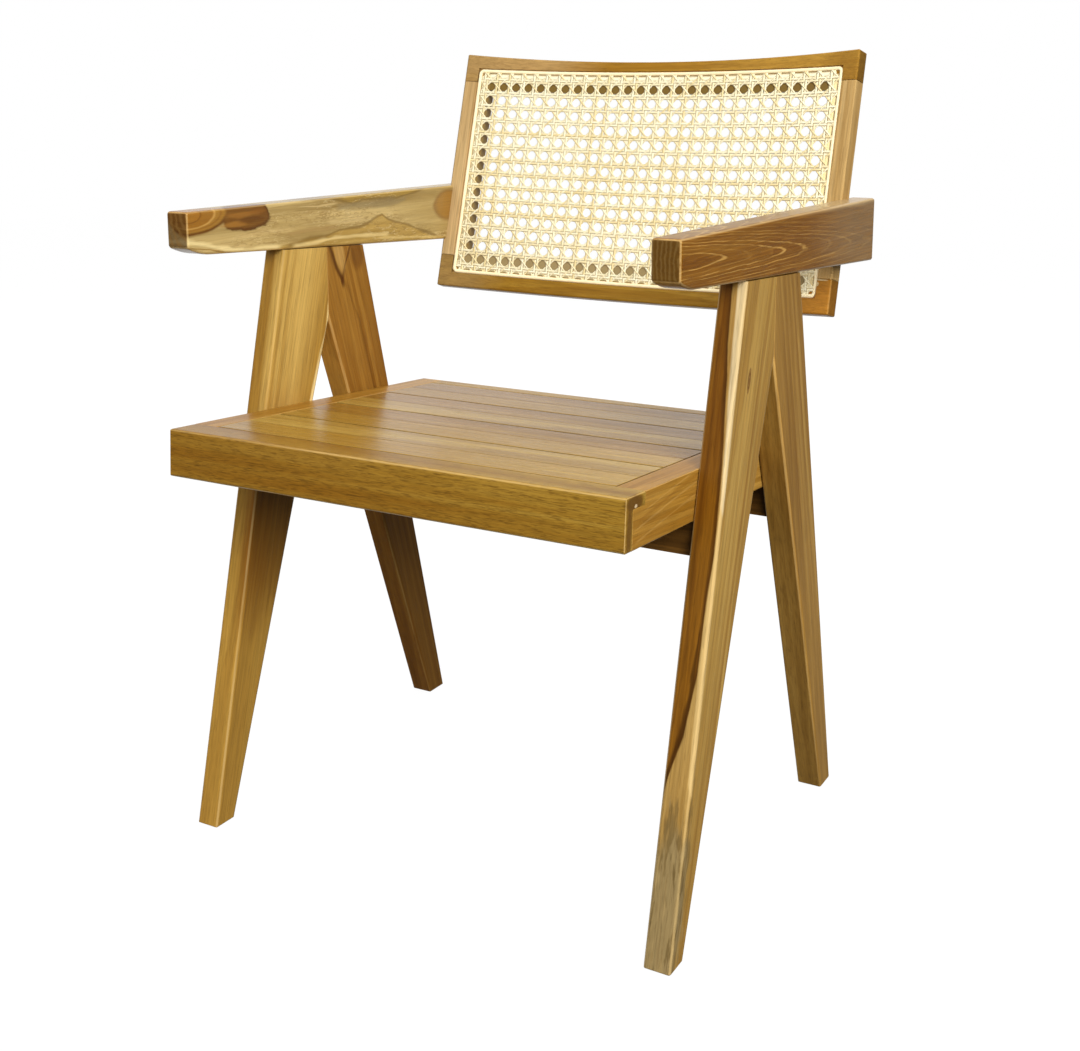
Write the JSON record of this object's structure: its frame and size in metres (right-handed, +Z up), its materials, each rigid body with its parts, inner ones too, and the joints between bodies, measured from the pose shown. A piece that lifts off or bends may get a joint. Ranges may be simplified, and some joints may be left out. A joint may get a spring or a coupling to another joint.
{
  "type": "armchair",
  "caption": "Teak dining armchair with V-shaped side legs, flat arms, a slatted wooden seat and a reclined back of woven cane.",
  "frame": {"origin": "on the floor, at the middle of the chair's width and depth", "axes": "+Z up, -Y the way the sitter faces, +X the sitter's left, which is the viewer's right from the front"},
  "size_m": [0.537, 0.5802, 0.7893],
  "materials": {
    "teak_legs": "satin varnish over golden-brown teak with pale sapwood streaks",
    "teak_arms": "satin varnish over brown teak with strong grain",
    "teak_seat_frame": "satin varnish over golden-brown teak",
    "teak_slats": "semi-gloss varnish over golden-brown teak",
    "teak_cross_rails": "satin varnish over dark teak",
    "teak_back": "satin varnish over tan teak",
    "woven_cane": "natural cream cane webbing, light sheen",
    "reed_spline": "natural cream reed",
    "beech_dowels": "bare wood",
    "steel_screws": "plain zinc-plated steel"
  },
  "bodies": {
    "root": {"front_leg_left": "teak_legs", "rear_leg_left": "teak_legs", "armrest_left": "teak_arms", "front_leg_right": "teak_legs", "rear_leg_right": "teak_legs", "armrest_right": "teak_arms", "seat_front_apron": "teak_seat_frame", "seat_rear_rail": "teak_seat_frame", "seat_side_rail_left": "teak_seat_frame", "seat_side_rail_right": "teak_seat_frame", "seat_slat_1": "teak_slats", "seat_slat_2": "teak_slats", "seat_slat_3": "teak_slats", "seat_slat_4": "teak_slats", "seat_slat_5": "teak_slats", "seat_slat_6": "teak_slats", "seat_slat_7": "teak_slats", "seat_slat_8": "teak_slats", "cross_rail_front": "teak_cross_rails", "cross_rail_rear": "teak_cross_rails", "back_top_rail": "teak_back", "back_bottom_rail": "teak_back", "back_stile_left": "teak_back", "back_stile_right": "teak_back", "cane_panel": "woven_cane", "cane_spline_top": "reed_spline", "cane_spline_bottom": "reed_spline", "cane_spline_left": "reed_spline", "cane_spline_right": "reed_spline", "leg_dowel_left_lower": "beech_dowels", "back_dowel_left_lower": "beech_dowels", "apron_dowel_left_lower": "beech_dowels", "rear_dowel_left_lower": "beech_dowels", "leg_dowel_left_upper": "beech_dowels", "back_dowel_left_upper": "beech_dowels", "apron_dowel_left_upper": "beech_dowels", "rear_dowel_left_upper": "beech_dowels", "arm_dowel_left_front": "beech_dowels", "seat_screw_front_left": "steel_screws", "arm_dowel_left_rear": "beech_dowels", "seat_screw_rear_left": "steel_screws", "leg_dowel_right_lower": "beech_dowels", "back_dowel_right_lower": "beech_dowels", "apron_dowel_right_lower": "beech_dowels", "rear_dowel_right_lower": "beech_dowels", "leg_dowel_right_upper": "beech_dowels", "back_dowel_right_upper": "beech_dowels", "apron_dowel_right_upper": "beech_dowels", "rear_dowel_right_upper": "beech_dowels", "arm_dowel_right_front": "beech_dowels", "seat_screw_front_right": "steel_screws", "arm_dowel_right_rear": "beech_dowels", "seat_screw_rear_right": "steel_screws"}
  },
  "joints": []
}
